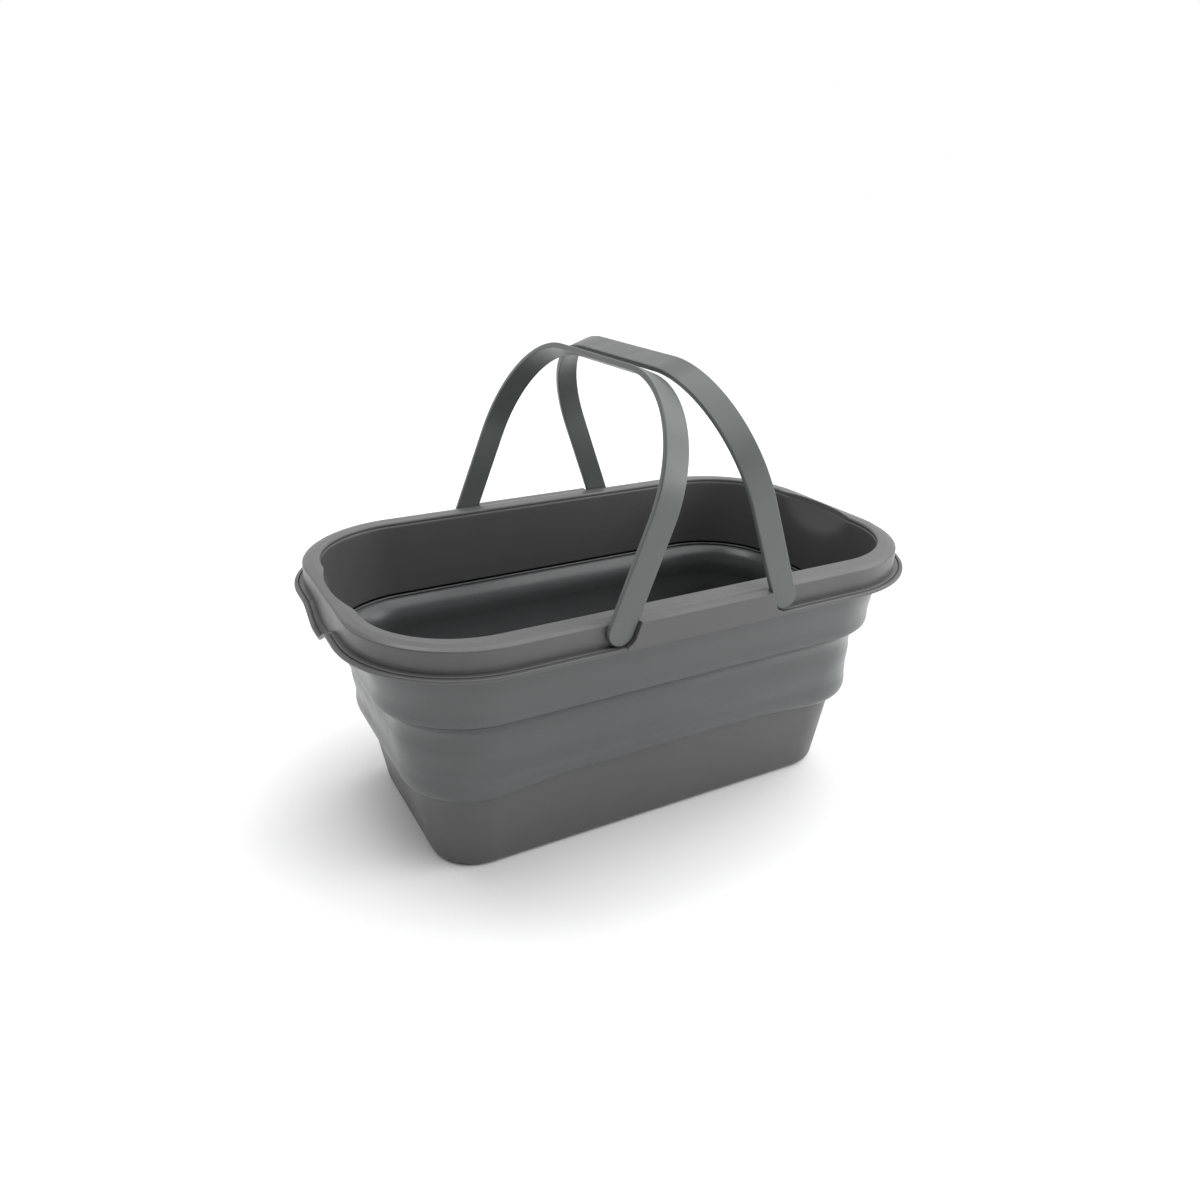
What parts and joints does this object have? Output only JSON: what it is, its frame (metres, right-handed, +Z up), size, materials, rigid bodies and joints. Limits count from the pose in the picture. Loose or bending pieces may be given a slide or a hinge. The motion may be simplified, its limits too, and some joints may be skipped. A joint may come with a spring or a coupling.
{
  "type": "folding pet bathtub",
  "caption": "Oblong folding wash tub with a hard base, a soft collapsing wall, a hard flanged rim and arched carrying bails that fold down round the rim.",
  "frame": {"origin": "on the floor, under the middle of the tub", "axes": "+X along the tub towards its right-hand end, +Y towards its back long side, +Z up"},
  "size_m": [0.442, 0.274, 0.3345],
  "materials": {
    "hard_plastic": "satin",
    "rim_plastic": "satin",
    "handle_plastic": "satin",
    "soft_rubber": "satin",
    "pin_plastic": "satin"
  },
  "bodies": {
    "base": {"base_pan": "hard_plastic", "folding_wall": "soft_rubber"},
    "rim": {"rim_frame": "hard_plastic", "rim_cover": "rim_plastic"},
    "left_bail": {"handle_left": "handle_plastic", "pivot_pin_front_left": "pin_plastic", "pivot_pin_back_left": "pin_plastic"},
    "right_bail": {"handle_right": "handle_plastic", "pivot_pin_front_right": "pin_plastic", "pivot_pin_back_right": "pin_plastic"}
  },
  "joints": [
    {"name": "collapse", "type": "slide", "parent": "base", "child": "rim", "axis": [0, 0, -1], "range_m": [0, 0.12], "deforming": ["folding_wall"]},
    {"name": "left_bail_pivot", "type": "hinge", "parent": "rim", "child": "left_bail", "pos_m": [-0.0632, 0, 0.1846], "axis": [0, -1, 0], "range_deg": [0, 112]},
    {"name": "right_bail_pivot", "type": "hinge", "parent": "rim", "child": "right_bail", "pos_m": [0.0632, 0, 0.1846], "axis": [0, 1, 0], "range_deg": [0, 108.5]}
  ]
}
